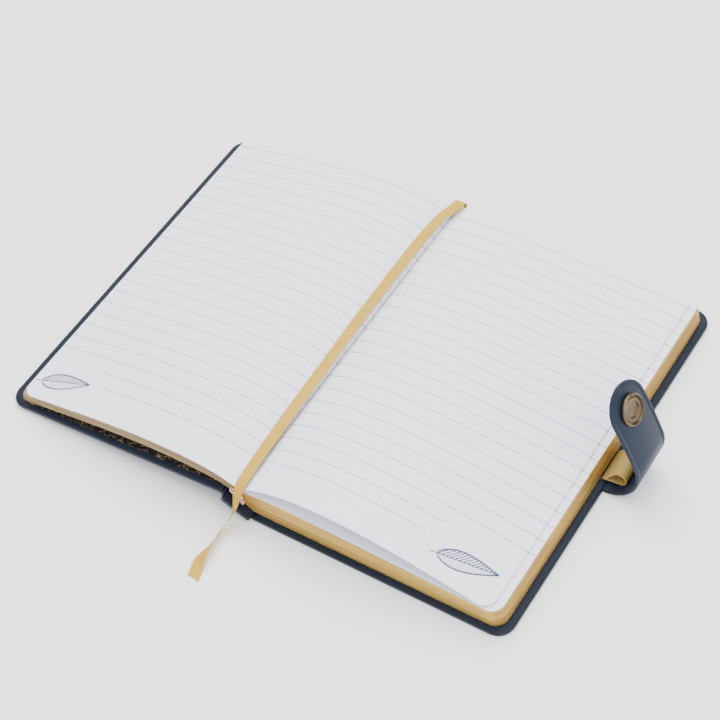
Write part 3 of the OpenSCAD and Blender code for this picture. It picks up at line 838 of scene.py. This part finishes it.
def cap_place():
    spot, normal = flap_at(FLAP_LEN - CAP_BACK, 0)
    return Matrix.Translation(spot * MM) @ Matrix.Rotation(math.acos(normal.z), 4, "Y")


def turned(profile, count=72):
    """A lathe-turned shape from (radius, height) pairs."""
    rings = [[(r * math.cos(a), r * math.sin(a), z) for a in (math.tau * k / count for k in range(count))]
             for r, z in profile]
    return loft(rings)


def build_clasp(materials):
    r = CAP_D / 2
    profile = [(r - 1.0, 0.3), (r - 0.2, 0.45), (r, 0.8), (r, 1.7), (r - 0.2, 2.2), (r - 0.55, 2.45),
               (r - 0.95, 2.35), (r - 1.15, 1.75), (r - 1.35, 1.35), (r - 1.8, 1.35), (r - 2.0, 1.6),
               (r - 2.3, 1.85), (r - 3.1, 1.85), (r - 3.45, 1.6), (r - 3.6, 1.0), (r - 3.8, 0.85),
               (1.2, 0.85), (0.3, 0.85)]
    points, faces = turned(profile)
    points = [(x * (0.86 if math.hypot(x, y) < r - 3.2 else 1), y, z) for x, y, z in points]
    solid("clasp cap", points, faces, "flap", ("clasp_cap",), [materials["brass"]],
          place=cap_place())
    points, faces = turned([(1.6, -2.1), (1.95, -2.0), (1.95, 0.5), (1.7, 0.55)], 40)
    solid("clasp stem", points, faces, "flap", ("clasp_stem",), [materials["brass"]],
          place=cap_place())
    base = -STRAP_T - LINING_T - 0.15
    points, faces = turned([(5.4, base - 1.2), (5.85, base - 1.05), (6, base - 0.8), (6, base - 0.1),
                            (5.8, base), (0.5, base)], 64)
    solid("clasp magnet", points, faces, "flap", ("clasp_magnet",), [materials["steel"]],
          place=cap_place())


def drop_ring(from_, small, big, count=12):
    """Points round a drop in X and Z: a small round at from_, a big round at the loop's middle."""
    dx, dz = LOOP_MID[0] - from_[0], LOOP_MID[1] - from_[1]
    side = math.acos((small - big) / math.hypot(dx, dz))
    lean = math.atan2(dz, dx)
    ring = []
    for k in range(count * 3 + 1):
        a = lean - side + 2 * side * k / (count * 3)
        ring.append((LOOP_MID[0] + big * math.cos(a), LOOP_MID[1] + big * math.sin(a)))
    for k in range(count + 1):
        a = lean + side + (math.tau - 2 * side) * k / count
        ring.append((from_[0] + small * math.cos(a), from_[1] + small * math.sin(a)))
    return ring


def build_pen_loop(materials):
    d = Vector((LOOP_MID[0] - LOOP_ROOT[0], LOOP_MID[1] - LOOP_ROOT[1])).normalized() * 3
    outer = drop_ring(LOOP_ROOT, LOOP_T, LOOP_H / 2)
    inner = drop_ring((LOOP_ROOT[0] + d[0], LOOP_ROOT[1] + d[1]), LOOP_T * 0.4, LOOP_H / 2 - LOOP_T)
    half = LOOP_W / 2

    def middle(f):
        return [(a[0] + (b[0] - a[0]) * f, a[1] + (b[1] - a[1]) * f) for a, b in zip(outer, inner)]

    stations = [(outer, -half + 0.2), (outer, -half * 0.5), (outer, 0), (outer, half * 0.5),
                (outer, half - 0.2), (middle(0.3), half), (middle(0.7), half), (inner, half - 0.2),
                (inner, 0), (inner, -half + 0.2), (middle(0.7), -half), (middle(0.3), -half)]
    rings = [[(x, y, z) for x, z in ring] for ring, y in stations]
    points, faces = loft(rings, wrap=True)
    solid("pen loop", points, faces, "back_cover", ("pen_loop",), [materials["elastic"]])


def build_strap(materials):
    strap_layer("strap", ("strap_riser", "strap_flap"), materials["strap"], 0, STRAP_T, 0)
    strap_layer("strap lining", ("riser_lining", "flap_lining"), materials["strap"], STRAP_T, LINING_T,
                0.35)


# ---------------------------------------------------------------- what the CAD model still shows
def finish_cad_nodes(materials):
    hidden = {"back_board": "board", "front_board": "board", "spine_board": "board", "spine_lining": "lining",
              "keeper": "steel"}
    for name, key in hidden.items():
        for obj in bpy.context.scene.objects:
            if obj.type == "MESH" and obj.name.split(".")[0] == name:
                obj.data.materials.clear()
                obj.data.materials.append(materials[key])


# ---------------------------------------------------------------- floor and light
def build_stage():
    made, tree, shader = material("pale floor")
    _, _, _, place = position(tree)
    pale = blend_colour(tree, noise(tree, place, 0.01, 2), (0.97, 0.97, 0.975), (0.98, 0.98, 0.985))
    set_shader(tree, shader, Base_Color=pale, Roughness=0.9, Specular_IOR_Level=0.1)
    corners = [(-FLOOR_HALF, -FLOOR_HALF), (FLOOR_HALF, -FLOOR_HALF), (FLOOR_HALF, FLOOR_HALF),
               (-FLOOR_HALF, FLOOR_HALF)]
    points, faces = loft([[(x, y, z) for x, y in corners] for z in (0, -FLOOR_T)])
    floor = solid("floor", points, faces, materials=[made])
    lights = [("key", (-0.9, 1.1, 1.6), 1.6, 43), ("fill", (1.3, -0.6, 1.3), 1.8, 21),
              ("top", (0.1, 0.2, 2.0), 2.2, 43)]
    for name, spot, size, power in lights:
        data = bpy.data.lights.new(name, "AREA")
        data.shape, data.size, data.energy = "SQUARE", size, power
        lamp = bpy.data.objects.new(name, data)
        lamp.location = spot
        lamp.rotation_mode = "QUATERNION"
        lamp.rotation_quaternion = (Vector(spot) - Vector((-0.08, 0, 0))).to_track_quat("Z", "Y")
        bpy.context.scene.collection.objects.link(lamp)
    world = bpy.data.worlds.new("studio")
    world.use_nodes = True
    world.node_tree.nodes["Background"].inputs[0].default_value = (0.93, 0.95, 1.0, 1)
    world.node_tree.nodes["Background"].inputs[1].default_value = 1.3
    bpy.context.scene.world = world


place_camera()
looks = all_materials()
build_ribbon(looks)
build_case(looks)
build_right_pages(looks)
build_left_pages(looks)
build_bands(looks)
build_pen_loop(looks)
build_strap(looks)
build_clasp(looks)
finish_cad_nodes(looks)
build_stage()
